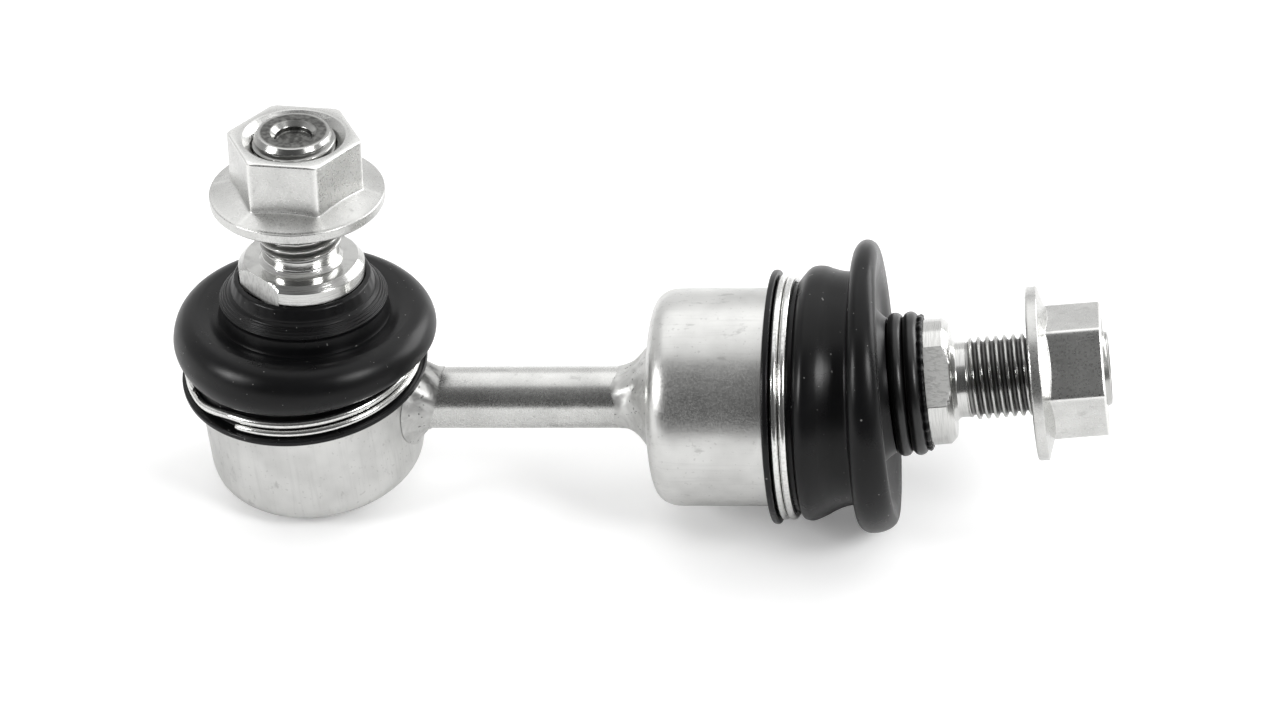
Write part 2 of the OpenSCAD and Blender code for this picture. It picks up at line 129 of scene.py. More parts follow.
class LINK_PG_stud(bpy.types.PropertyGroup):
    """Sizes of the studs and nuts."""
    left_neck: length("Left neck", "Ball's centre to the collar's underside, left", 19.2)
    right_neck: length("Right neck", "Ball's centre to the collar's underside, right", 26.3)
    ball_r: length("Ball radius", "Radius of the ball", 9.0)
    neck_r: length("Neck radius", "Radius of the neck next to the ball", 4.9)
    seat_r: length("Boot seat", "Radius that the boot's neck sits on", 7.1)
    collar_r: length("Collar radius", "Radius of the collar", 9.1)
    collar_t: length("Collar thickness", "Thickness of the collar", 3.9)
    collar_bevel: length("Collar bevel", "Bevel at the collar's upper edge", 0.9)
    collar_af: length("Collar flats", "Width across the collar's flats", 16.0)
    undercut_r: length("Undercut radius", "Radius of the undercut", 5.45)
    undercut: length("Undercut", "Length of the undercut", 2.2)
    thread_r: length("Thread radius", "Outside radius of the thread", 5.95)
    pitch: length("Pitch", "Pitch of the thread", 1.25)
    left_shank: length("Left shank", "Left shoulder to the stud's end", 20.8)
    right_shank: length("Right shank", "Right shoulder to the stud's end", 22.5)
    recess_r: length("Recess radius", "Radius of the recess in the stud's end", 2.6)
    recess: length("Recess depth", "Depth of the recess in the stud's end", 1.5)
    left_gap: length("Left nut gap", "Left shoulder to the nut's flange", 9.5)
    right_gap: length("Right nut gap", "Right shoulder to the nut's flange", 11.3)
    nut_af: length("Nut flats", "Nut's width across flats", 17.0)
    nut_h: length("Nut height", "Nut's height with its flange", 10.5)
    nut_flange_r: length("Flange radius", "Radius of the nut's flange", 12.55)
    nut_flange_t: length("Flange rim", "Thickness of the nut's flange at its rim", 1.7)


class LINK_PG_rubber(bpy.types.PropertyGroup):
    """Sizes of the boots and their rings."""
    flange_r: length("Base flange", "Radius of the boot's base flange", 18.4)
    under_r: length("Under clip", "Radius of the boot under its clip ring", 16.55)
    bulge_r: length("Bulge", "Radius of the right boot's first bulge", 18.4)
    valley_r: length("Valley", "Radius of the right boot's valley", 16.9)
    left_fold_r: length("Left fold", "Radius of the left boot's fold", 19.1)
    right_fold_r: length("Right fold", "Radius of the right boot's outer fold", 21.2)
    fold_t: length("Fold thickness", "Thickness of the right boot's outer fold", 3.9)
    shoulder_r: length("Shoulder", "Radius of the left boot's shoulder", 12.2)
    neck_r: length("Neck", "Radius of the boot's neck under its ring", 8.1)
    lip_r: length("Lip", "Inner radius of a boot's lip around the collar", 9.2)
    left_trim: length("Left trim", "How much the left boot's base is trimmed", 0.4)
    right_trim: length("Right trim", "How much the right boot's base is trimmed", 0.0)
    wire_r: length("Clip wire", "Radius of the clip ring's wire", 0.6)
    clip_r: length("Clip ring", "Radius of the clip ring's wire centre", 17.2)
    neck_wire_r: length("Neck wire", "Radius of a neck ring's wire", 1.12)


class LINK_PG_looks(bpy.types.PropertyGroup):
    """Colours of the materials and the stage."""
    zinc: colour("Zinc", "Bright zinc plate", "#DADAD8")
    nut: colour("Nut", "Zinc plate on the nuts", "#D3D3D1")
    bar: colour("Bar", "Zinc plate on drawn bar", "#D4D4D2")
    weld: colour("Weld", "Zinc plate on the weld beads", "#CECECC")
    steel: colour("Steel", "Turned stud steel", "#D0D0CE")
    thread: colour("Thread", "Rolled thread, oiled dark", "#B6B6B4")
    forged: colour("Forged end", "Sheared end of the stud", "#6A6A68")
    wire: colour("Wire", "Bright spring wire", "#E4E4E2")
    rubber: colour("Rubber", "Black moulded rubber", "#0B0B0C")
    dust: colour("Dust", "Dust on the rubber", "#9A9A98")
    black_wire: colour("Black wire", "Blackened spring wire", "#0B0B0C")
    resin: colour("Resin", "Moulded acetal", "#E6E3DA")
    floor: colour("Floor", "Bench top", "#F6F6F6")


# Frames

def turned(axis, angle):
    """Rotation matrix about a unit axis, by the right-hand rule."""
    return np.array(Matrix.Rotation(angle, 3, axis.tolist()))


def joint(name):
    """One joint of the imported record, by name."""
    return next(j for j in frame["record"]["behaviour"]["joints"] if j["name"] == name)


def lean(side):
    """The stud's two lean angles at rest: a joint's range is even about the upright stud."""
    return [-math.radians(sum(joint(f"{side}_{n}")["range_deg"]) / 2) for n in ("swing", "sway")]


def unit(v):
    """A vector of length one."""
    v = np.array(v, float)
    return v / np.linalg.norm(v)


def cup_frame(side):
    """(origin, axes as columns) of a joint's cup: swing axis is Y, Z points out of the cup."""
    y = unit(joint(f"{side}_swing")["axis"])
    x = turned(y, -lean(side)[0]) @ unit(joint(f"{side}_sway")["axis"])
    return np.array(joint(f"{side}_swing")["pos_m"]), np.stack([x, y, np.cross(x, y)], 1)


def stud_frame(side):
    """(origin, axes as columns) of a joint's stud at rest."""
    z = unit(joint(f"{side}_spin")["axis"])
    x = unit(joint(f"{side}_sway")["axis"])
    return np.array(joint(f"{side}_swing")["pos_m"]), np.stack([x, np.cross(z, x), z], 1)


def rod_frame():
    """(origin, axes as columns) of the rod: Z along the rod, origin on the left cup's axis."""
    o, axes = cup_frame("left")
    m = bpy.context.scene.link_metal
    x, y, z = axes.T
    return o - z * (m.ball_h - m.rod_h), np.stack([-z, y, x], 1)


# Surfaces

def size(group, key):
    """A size property in millimetres."""
    return getattr(group, key) / MM


def fillets(points, radii, steps=7):
    """A polyline (r, z) with its corners rounded by arcs. A corner's arc is the quadratic curve between
    its two tangent points, which lie as far from the corner as the radius asks, at most 0.45 of each
    side."""
    p = np.array(points, float)
    out = [p[:1]]
    t = np.linspace(0, 1, steps)[:, None]
    for i, r in enumerate(radii, 1):
        a, b = p[i - 1] - p[i], p[i + 1] - p[i]
        la, lb = np.linalg.norm(a), np.linalg.norm(b)
        half = math.acos(np.clip(a @ b / (la * lb), -1, 1)) / 2
        d = min(r / max(math.tan(half), 1e-6), 0.45 * la, 0.45 * lb)
        s, e = p[i] + a / la * d, p[i] + b / lb * d
        out.append((1 - t) ** 2 * s + 2 * t * (1 - t) * p[i] + t ** 2 * e if r > 0 else p[i:i + 1])
    out.append(p[-1:])
    return np.concatenate(out)


def spaced(line, step):
    """A polyline with points added so that no two are further apart than step."""
    gaps = np.maximum(1, np.ceil(np.linalg.norm(np.diff(line, axis=0), axis=1) / step)).astype(int)
    at = np.concatenate([i + np.arange(g) / g for i, g in enumerate(gaps)] + [[len(line) - 1.0]])
    k = np.arange(len(line))
    return np.stack([np.interp(at, k, line[:, c]) for c in range(line.shape[1])], 1)


def curve(points, n):
    """A smooth line through points: a Catmull-Rom curve, n points in each span."""
    p = np.array(points, float)
    p = np.concatenate([2 * p[:1] - p[1:2], p, 2 * p[-1:] - p[-2:-1]])
    t = (np.arange(n) / n)[None, :, None]
    a, b, c, d = (p[i:len(p) - 3 + i][:, None, :] for i in range(4))
    square, cube = 2 * a - 5 * b + 4 * c - d, 3 * b - a - 3 * c + d
    q = 0.5 * (2 * b + (c - a) * t + square * t ** 2 + cube * t ** 3)
    return np.concatenate([q.reshape(-1, p.shape[1]), p[-2:-1]])


def arc(centre, radii, degrees):
    """Points of an elliptic arc (r, z) at the given angles."""
    w = np.radians(np.asarray(degrees, float))
    return np.stack([centre[0] + radii[0] * np.cos(w), centre[1] + radii[1] * np.sin(w)], 1)


def around(n, *marks):
    """n even angles around a circle, with marked angles put in between them."""
    even = np.arange(n) * (2 * math.pi / n)
    return np.unique(np.round(np.mod(np.concatenate([even, *marks]), 2 * math.pi), 5))


def revolve(line, a):
    """Grid of a turned surface: the line (r, z) at the angles a. x = r cos(a), y = r sin(a)."""
    r, z = line[:, :1], line[:, 1:2]
    return rounded(r + 0 * a, a, z)


def rounded(r, a, z):
    """Grid of a surface around an axis from its radii and heights at the angles a."""
    return np.stack(np.broadcast_arrays(r * np.cos(a), r * np.sin(a), z), 2)


def surface(name, grid, place, wrap_v=False, poles=(False, False), sharp=35, **marks):
    """A mesh object from a grid of points (rows, around, 3), closed around. wrap_v joins the last row
    to the first; a pole closes an end row with one middle point. Faces point outwards: if the enclosed
    volume comes out negative, every face is turned. The points in the joint's own frame are kept as the
    attribute local, and each mark, a grid of numbers, as an attribute of its own name."""
    rows, n = grid.shape[:2]
    pts = grid.reshape(-1, 3)
    i = np.arange(n)
    e = (i + 1) % n
    j = np.arange(rows if wrap_v else rows - 1)[:, None]
    k = (j + 1) % rows
    quads = np.stack([j * n + i, j * n + e, k * n + e, k * n + i], 2).reshape(-1, 4)
    tris = np.zeros((0, 3), int)
    ends = [(row, flip) for flag, row, flip in zip(poles, (0, rows - 1), (True, False)) if flag]
    for row, flip in ends:
        mid = len(pts)
        pts = np.concatenate([pts, grid[row].mean(0)[None]])
        fan = np.stack([row * n + i, row * n + e, np.full(n, mid)], 1)
        tris = np.concatenate([tris, fan[:, ::-1] if flip else fan])
    all3 = np.concatenate([quads[:, [0, 1, 2]], quads[:, [0, 2, 3]], tris])
    a, b, c = (pts[all3[:, x]] for x in range(3))
    if np.einsum("ij,ij->i", a, np.cross(b, c)).sum() < 0:
        quads, tris = quads[:, ::-1], tris[:, ::-1]
    origin, axes = place
    world = origin + (pts * MM) @ axes.T
    mesh = bpy.data.meshes.new(name)
    mesh.vertices.add(len(world))
    mesh.vertices.foreach_set("co", world.astype(np.float32).ravel())
    loops = np.concatenate([quads.ravel(), tris.ravel()]).astype(np.int32)
    mesh.loops.add(len(loops))
    mesh.loops.foreach_set("vertex_index", loops)
    starts = np.concatenate([np.arange(len(quads)) * 4, len(quads) * 4 + np.arange(len(tris)) * 3])
    mesh.polygons.add(len(starts))
    mesh.polygons.foreach_set("loop_start", starts.astype(np.int32))
    mesh.update(calc_edges=True)
    local = mesh.attributes.new("local", "FLOAT_VECTOR", "POINT")
    local.data.foreach_set("vector", pts.astype(np.float32).ravel())
    for key, grid_marks in marks.items():
        values = np.broadcast_to(grid_marks, (rows, n))
        values = np.concatenate([values.ravel(), [values[row].mean() for row, flip in ends]])
        mesh.attributes.new(key, "FLOAT", "POINT").data.foreach_set("value", values.astype(np.float32))
    mesh.polygons.foreach_set("use_smooth", np.ones(len(starts), bool))
    if mesh.validate(clean_customdata=False):
        raise RuntimeError(f"{name}: the mesh had bad faces")
    mesh.set_sharp_from_angle(angle=math.radians(sharp))
    obj = bpy.data.objects.new(name, mesh)
    bpy.context.scene.collection.objects.link(obj)
    return obj


def coil(r, z0, pitch, first, turns, climb):
    """Path of a round coil of flat turns: (r cos(a), r sin(a), z), where z climbs one pitch at the end
    of the first turn, over the angle climb, as 3u^2 - 2u^3."""
    a = first + np.linspace(0, turns * 2 * math.pi, int(210 * turns))
    u = np.clip((a - first - 2 * math.pi + climb) / climb, 0, 1)
    return np.stack([r * np.cos(a), r * np.sin(a), z0 + pitch * u * u * (3 - 2 * u)], 1)


def tube(path, radius, n, taper=0.18):
    """Grid of a round wire along a path: each row is a circle across the path's direction, in the plane
    of the path's own radial direction and its axis. The end rows shrink, as a cut wire's burred ends
    do."""
    d = np.gradient(path, axis=0)
    d /= np.linalg.norm(d, axis=1)[:, None]
    out = path * [1, 1, 0]
    out /= np.linalg.norm(out, axis=1)[:, None]
    up = np.cross(d, out)
    a = around(n)[None, :, None]
    r = np.full(len(path), radius)
    r[[0, -1]] *= 1 - taper
    return path[:, None] + r[:, None, None] * (np.cos(a) * out[:, None] + np.sin(a) * up[:, None])


def finish(obj, body, slot, material, *nodes):
    """Gives a piece its material, its body and the nodes that it stands for. The slot is not used."""
    obj.data.materials.append(material)
    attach(obj, body)
    if nodes:
        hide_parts(*nodes)
    return obj


# Materials

def add(tree, kind, *values, output=None, **settings):
    """Adds one shader node and returns its output. Values go to the node's sockets in order, and None
    leaves one as it is. Settings are the node's own properties first, then sockets by name."""
    node = tree.nodes.new("ShaderNode" + kind)
    named = {}
    for key, value in settings.items():
        if key in node.bl_rna.properties:
            setattr(node, key, value)
        else:
            named[key.replace("_", " ")] = value
    sockets = [s for s in node.inputs if s.enabled]
    pairs = list(zip(sockets, values)) + [(node.inputs[key], value) for key, value in named.items()]
    for socket, value in pairs:
        if isinstance(value, bpy.types.NodeSocket):
            tree.links.new(value, socket)
        elif value is not None:
            socket.default_value = value
    return node.outputs[output] if output else next(s for s in node.outputs if s.enabled)


def start(name, **sockets):
    """A new material with one shader: returns it, its tree, its shader and the local coordinates."""
    mat = bpy.data.materials.new(name)
    mat.use_nodes = True
    tree = mat.node_tree
    shader = tree.nodes["Principled BSDF"]
    for key, value in sockets.items():
        shader.inputs[key.replace("_", " ")].default_value = value
    where = add(tree, "Attribute", attribute_name="local", output="Vector")
    return mat, tree, shader, where


def dress(tree, shader, **outputs):
    """Links outputs to the shader's sockets."""
    for key, value in outputs.items():
        tree.links.new(value, shader.inputs[key.replace("_", " ")])


def shade(c, k):
    """A colour made darker or lighter by a factor."""
    return (*[min(1.0, v * k) for v in c[:3]], 1.0)


def patches(t, where, mm, low, high, a=0.0, b=1.0, detail=2.0, stretch=(1, 1, 1)):
    """Noise whose features are mm across, carried smoothly from low..high to a..b. Stretch below 1
    draws the features out along an axis."""
    drawn = add(t, "VectorMath", where, stretch, operation="MULTIPLY")
    field = add(t, "TexNoise", drawn, 1.0 / mm, detail, 0.55)
    return add(t, "MapRange", field, low, high, a, b, interpolation_type="SMOOTHSTEP")


def zinc_plate(name, base, rough, pits=1.0, grain=(1, 1, 0.06)):
    """Bright zinc plate on formed steel: faint clouds 6 mm wide, forming lines drawn out along the
    axis, pits of 0.6 mm, stains of 1.6 mm, and marked edges painted lighter, as rubbed wear and as a
    painted highlight. It gives the eye a milky metal with soft reflections that sparkle with specks."""
    mat, t, sh, w = start(name, Metallic=1.0)
    # Marked edges: rubbed wear and a painted highlight, painted lighter than the plate.
    worn = add(t, "Attribute", attribute_name="worn", output="Fac")
    cloud = patches(t, w, 6.0, 0.3, 0.7)
    lines = patches(t, w, 0.5, 0.5, 0.8, stretch=grain)
    pit = patches(t, w, 0.6, 0.66, 0.74, 0.0, pits, 1.0)
    stain = patches(t, w, 1.6, 0.61, 0.73, 0.0, 0.6 * pits, 4.0, (1, 1, 0.5))
    tone = add(t, "Mix", cloud, shade(base, 0.85), base, data_type="RGBA")
    # Each mark, how much of it shows, and how bright it is beside the plate. The last mark is rubbed wear
    # and a painted highlight.
    for mark, share, level in ((lines, 0.2, 0.6), (pit, 0.25, 0.4), (stain, 0.6, 0.35), (worn, 0.8, 1.3)):
        shown = add(t, "Math", mark, share, operation="MULTIPLY")
        tone = add(t, "Mix", shown, tone, shade(base, level), data_type="RGBA")
    gloss = patches(t, w, 0.3, 0.3, 0.7, rough - 0.04, rough + 0.05)
    sunk = add(t, "Math", pit, -2.5, operation="MULTIPLY")
    height = add(t, "Math", add(t, "TexNoise", w, 1 / 0.3, 1.0), sunk, operation="ADD")
    bump = add(t, "Bump", Strength=0.5, Distance=0.004 * MM, Height=height)
    dress(t, sh, Base_Color=tone, Roughness=gloss, Normal=bump)
    return mat


def rubber(name, base, dust):
    """Moulded black rubber: satin skin, soft bloom 7 mm wide, a fine grain, and a few dust specks. It
    gives the eye a deep black with broad soft highlights."""
    mat, t, sh, w = start(name, IOR=1.45, Specular_IOR_Level=0.27)
    bloom = patches(t, w, 7.0, 0.35, 0.75, 0.0, 0.35, 3.0)
    speck = patches(t, w, 0.6, 0.755, 0.79, 0.0, 0.5, 1.0)
    tone = add(t, "Mix", bloom, base, shade(base, 2.5), data_type="RGBA")
    tone = add(t, "Mix", speck, tone, dust, data_type="RGBA")
    gloss = patches(t, w, 5.0, 0.3, 0.7, 0.27, 0.34, 3.0)
    grain = add(t, "TexNoise", w, 1 / 0.25, 2.0)
    bump = add(t, "Bump", Strength=0.3, Distance=0.006 * MM, Height=grain)
    dress(t, sh, Base_Color=tone, Roughness=gloss, Normal=bump)
    return mat


def turned_steel(name, base):
    """Turned steel, oiled bright: tool rings 0.14 mm apart and flats that are milled rough. It gives
    the eye thin circular lines beside torn, speckled flats."""
    mat, t, sh, w = start(name, Metallic=1.0)
    flat = add(t, "Attribute", attribute_name="milled", output="Fac")
    rings = patches(t, w, 0.14, 0.4, 0.75, stretch=(0.05, 0.05, 1.0))
    torn = patches(t, w, 0.35, 0.45, 0.6, detail=4.0, stretch=(1, 1, 0.4))
    pattern = add(t, "Mix", flat, rings, torn)
    shown = add(t, "Math", pattern, 0.35, operation="MULTIPLY")
    tone = add(t, "Mix", shown, base, shade(base, 0.45), data_type="RGBA")
    gloss = add(t, "MapRange", flat, 0.0, 1.0, 0.17, 0.55)
    depth = add(t, "MapRange", flat, 0.0, 1.0, 0.15, 0.8)
    metal = add(t, "MapRange", flat, 0.0, 1.0, 1.0, 0.2)
    bump = add(t, "Bump", Strength=depth, Distance=0.03 * MM, Height=pattern)
    dress(t, sh, Base_Color=tone, Metallic=metal, Roughness=gloss, Normal=bump)
    return mat


def rolled_thread(name, base, forged):
    """Rolled thread: bright burnished crests, painted shade in the roots, and an end face that was
    sheared. It gives the eye thin bright lines on dark grey, and a dark, mottled end."""
    mat, t, sh, w = start(name, Metallic=1.0)
    root = add(t, "Attribute", attribute_name="root", output="Fac")
    end = add(t, "Attribute", attribute_name="sheared", output="Fac")
    mottle = patches(t, w, 0.7, 0.35, 0.65, detail=3.0)
    # Painted shade: the roots are painted a quarter as bright as the crests.
    tone = add(t, "Mix", root, base, shade(base, 0.25), data_type="RGBA")
    dark = add(t, "Mix", mottle, shade(forged, 0.55), shade(forged, 1.25), data_type="RGBA")
    tone = add(t, "Mix", end, tone, dark, data_type="RGBA")
    gloss = add(t, "MapRange", add(t, "Math", root, end, operation="MAXIMUM"), 0.0, 1.0, 0.2, 0.42)
    depth = add(t, "Math", end, 0.5, operation="MULTIPLY")
    bump = add(t, "Bump", Strength=depth, Distance=0.04 * MM, Height=mottle)
    dress(t, sh, Base_Color=tone, Roughness=gloss, Normal=bump)
    return mat


def drawn_wire(name, base, metallic, rough):
    """Drawn spring wire: fine scratches 0.35 mm wide. It gives the eye a thin bright line on each turn
    of the coil."""
    mat, t, sh, w = start(name, Metallic=metallic)
    scratch = patches(t, w, 0.35, 0.4, 0.7, detail=3.0)
    tone = add(t, "Mix", scratch, base, shade(base, 0.8), data_type="RGBA")
    gloss = add(t, "MapRange", scratch, 0.0, 1.0, rough, rough + 0.08)
    bump = add(t, "Bump", Strength=0.05, Distance=0.006 * MM, Height=scratch)
    dress(t, sh, Base_Color=tone, Roughness=gloss, Normal=bump)
    return mat


def weld_metal(name, base):
    """Plated weld bead: slow swirls 2.2 mm wide and a few dark pores. It gives the eye a soft grey
    collar whose reflections swim."""
    mat, t, sh, w = start(name, Metallic=1.0)
    swirl = add(t, "TexNoise", w, 1 / 2.2, 2.0, 0.5, Distortion=1.2)
    pore = patches(t, w, 0.7, 0.68, 0.74, detail=1.0)
    tone = add(t, "Mix", add(t, "MapRange", swirl, 0.35, 0.65), shade(base, 0.8), base, data_type="RGBA")
    shown = add(t, "Math", pore, 0.7, operation="MULTIPLY")
    tone = add(t, "Mix", shown, tone, shade(base, 0.15), data_type="RGBA")
    gloss = patches(t, w, 0.4, 0.3, 0.7, 0.36, 0.5)
    sunk = add(t, "Math", pore, -0.3, operation="MULTIPLY")
    height = add(t, "Math", swirl, sunk, operation="ADD")
    bump = add(t, "Bump", Strength=0.5, Distance=0.12 * MM, Height=height)
    dress(t, sh, Base_Color=tone, Roughness=gloss, Normal=bump)
    return mat


def inner_piece(name, base, metallic, mm):
    """A piece that the joint hides, acetal with flow marks or steel with a mill grain. It gives the eye
    a faint pattern mm wide on a satin skin."""
    mat, t, sh = start(name, Metallic=metallic, Roughness=0.4)[:3]
    place = add(t, "TexCoord", output="Object")
    grain = add(t, "TexNoise", place, 1 / (mm * MM), 3.0)
    dress(t, sh, Base_Color=add(t, "Mix", grain, shade(base, 0.85), base, data_type="RGBA"))
    return mat


# Pieces

class LINK_OT_rod(bpy.types.Operator):
    """Builds the rod and its two welds"""
    bl_idname = "link.rod"
    bl_label = "Rod and welds"

    def execute(self, context):
        m, looks = context.scene.link_metal, context.scene.link_looks
        place = rod_frame()
        r, cup, span = (size(m, k) for k in ("rod_r", "cup_r", "span"))
        # Rod: a cylinder whose near end is the saddle z = sqrt(cup^2 - y^2) on the left cup.
        a = around(160)
        t = np.linspace(0, 1, 60)[:, None]
        saddle = np.sqrt((cup + FIT) ** 2 - (r * np.sin(a)) ** 2)[None]
        grid = rounded(r, a, saddle + (span - FIT - saddle) * t)
        bar = zinc_plate("drawn_bar_zinc_plated", tuple(looks.bar), 0.27, 0.8, (1, 1, 0.03))
        finish(surface("rod_bar", grid, place, poles=(True, True)), "link", "zinc_rod", bar, "link_rod")
        bead = weld_metal("weld_bead_zinc_plated", tuple(looks.weld))
        a = around(240)
        t = np.linspace(0, 1, 70)[:, None]
        hump = np.sin(math.pi * t)
        toe_r, lift = r + 0.06, 0.06
        # Right weld: the radius climbs from the rod to the cup's end as t^2.1, a hollow fillet.
        # Slanting sines of uneven phase stand for the ripples of the pool.
        run, wide = size(m, "right_weld"), size(m, "right_weld_r")
        ripple = 0.1 * np.sin(11 * a + 8 * t + 1.4 * np.sin(2 * a)) + 0.07 * np.sin(3 * a + 1)
        rad = toe_r + (wide - r - 0.3) * t ** 2.1 + hump * ripple
        toe = run * (0.92 + 0.05 * np.sin(2 * a) + 0.04 * np.sin(5 * a + 2))
        outer = rounded(rad, a, span - lift - toe * (1 - t))
        foot = rounded(np.full((1, 1), r + FIT), a, np.full((1, 1), span - lift))
        obj = surface("weld_right", np.concatenate([outer, foot]), place, wrap_v=True, sharp=60)
        finish(obj, "link", "weld_bead", bead, "right_weld")
        # Left weld: the same bead on the cup's round side, low above because the boot's groove is
        # there. Each row ends on the cylinder of the cup.
        # Room under the groove, the bead's radius, and how much more of it hangs below the rod.
        spare, bead_r, sag = 0.25, 6.3, 1.0
        run = size(m, "left_weld")
        roof = (size(m, "cup_h") - size(m, "rod_h") - spare) / np.maximum(-np.cos(a), 1e-3)
        wide = np.minimum(bead_r + 0.2 * np.sin(3 * a) + sag * np.maximum(np.cos(a), 0), roof)
        rad = toe_r + (wide - toe_r) * t ** 1.7 + 0.14 * hump * np.sin(9 * a + 6 * t + 0.8)
        rad = np.minimum(rad, roof)
        wall = np.sqrt((cup + lift) ** 2 - (rad * np.sin(a)) ** 2)
        toe = run * (0.8 - 0.25 * np.cos(a) + 0.06 * np.sin(3 * a + 1))
        outer = rounded(rad, a, wall + toe * (1 - t) ** 1.1)
        hole = r + FIT
        seat = np.sqrt((cup + lift) ** 2 - (hole * np.sin(a)) ** 2)[None]
        foot = rounded(np.full((1, 1), hole), a, seat)
        obj = surface("weld_left", np.concatenate([outer, foot]), place, wrap_v=True, sharp=60)
        finish(obj, "link", "weld_bead", bead, "left_weld")
        return {"FINISHED"}


class LINK_OT_cups(bpy.types.Operator):
    """Builds the two drawn socket cups"""
    bl_idname = "link.cups"
    bl_label = "Socket cups"

    def execute(self, context):
        m, looks = context.scene.link_metal, context.scene.link_looks
        r, base, corner = size(m, "cup_r"), -size(m, "ball_h"), size(m, "cup_corner")
        top, groove = base + size(m, "cup_h"), size(m, "groove_r")
        rim = top + size(m, "rim_h")
        wall, bore, mouth, middle = 2.6, 12.2, 10.4, 0.3
        # Turned profile from the middle of the closed end, up the outside, over the rolled mouth and
        # down the bore.
        line = fillets([(middle, base), (r, base), (r, top), (groove, top), (groove, rim - 0.8),
                        (groove + 0.55, rim - 0.5), (groove + 0.1, rim), (mouth + 1.2, rim),
                        (mouth, rim - 1.0), (mouth, rim - 1.6), (bore, 6.6), (bore, base + wall),
                        (middle, base + wall)],
                       [corner, 0.35, 0.2, 0.15, 0.25, 0.3, 0.5, 0.2, 0.2, 0.1, 0.4], 13)
        plate = zinc_plate("drawn_cup_zinc_plated", tuple(looks.zinc), 0.32)
        for side in SIDES:
            grid = revolve(spaced(line, 0.7), around(240))
            obj = surface(f"cup_{side}", grid, cup_frame(side), poles=(True, True))
            finish(obj, "link", "zinc_cup", plate, f"{side}_housing")
        return {"FINISHED"}


def boot_ends(side):
    """Heights above the ball's centre: the base's underside, the clip ring's upper edge, the neck's
    lower end and the lip. The neck is as long as its ring's coils."""
    m, s, b = (getattr(bpy.context.scene, f"link_{k}") for k in ("metal", "stud", "rubber"))
    room, clip_h, spare = 0.1, 4.6, 0.55
    base = size(m, "cup_h") - size(m, "ball_h") + room
    top = size(s, f"{side}_neck")
    neck = top - SIDES[side]["ring_coils"] * (2 * size(b, "neck_wire_r") - FIT) - spare
    return base, base + clip_h, neck, top - room


